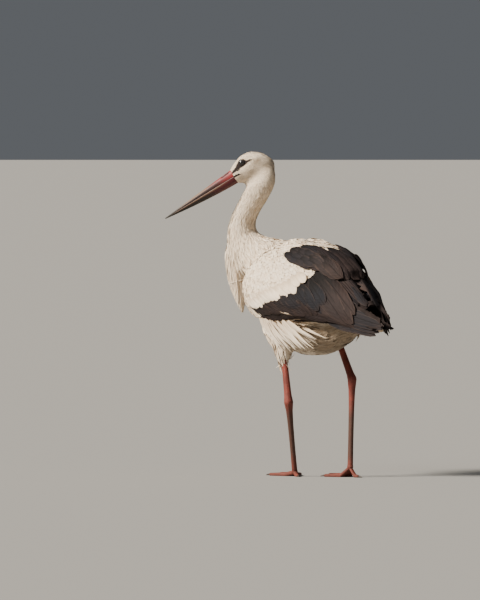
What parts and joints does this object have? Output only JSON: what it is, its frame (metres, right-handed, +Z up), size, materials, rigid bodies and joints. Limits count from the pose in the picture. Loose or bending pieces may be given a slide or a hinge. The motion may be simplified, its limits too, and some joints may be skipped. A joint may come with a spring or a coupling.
{
  "type": "white stork",
  "caption": "Life-size white stork standing with its head turned to its left: white plumage, folded wings with black flight feathers, long red bill and red legs.",
  "frame": {"origin": "on the floor under the middle of the whole bird's box", "axes": "+Z up; the bird heads along -X, its left side is -Y and its head is turned to its left"},
  "size_m": [0.5716, 0.355, 0.715],
  "materials": {
    "plumage_white": "warm white contour feathers, matt",
    "plumage_black": "brown-black flight feathers and scapulars, soft sheen",
    "bill_red": "horny bill sheath, coral red fading to dusky brown at the tip",
    "bill_dark": "horny bill sheath, dark red fading to olive black at the tip",
    "leg_skin": "scaled skin, orange red to grey brown",
    "eye": "dark wet eye",
    "claw_horn": "flat blunt horn"
  },
  "bodies": {
    "root": {"head": "plumage_white", "neck_upper": "plumage_white", "neck_lower": "plumage_white", "breast_plumes": "plumage_white", "trunk": "plumage_white", "tail": "plumage_white", "thigh_left": "plumage_white", "thigh_right": "plumage_white", "wing_left": "plumage_black", "wing_right": "plumage_black", "scapulars_left": "plumage_black", "scapulars_right": "plumage_black", "upper_bill": "bill_red", "lower_bill": "bill_dark", "eye_left": "eye", "eye_right": "eye", "shank_left": "leg_skin", "tarsus_left": "leg_skin", "foot_left": "leg_skin", "claw_left_inner": "claw_horn", "claw_left_middle": "claw_horn", "claw_left_outer": "claw_horn", "claw_left_hind": "claw_horn", "shank_right": "leg_skin", "tarsus_right": "leg_skin", "foot_right": "leg_skin", "claw_right_inner": "claw_horn", "claw_right_middle": "claw_horn", "claw_right_outer": "claw_horn", "claw_right_hind": "claw_horn"}
  },
  "joints": []
}
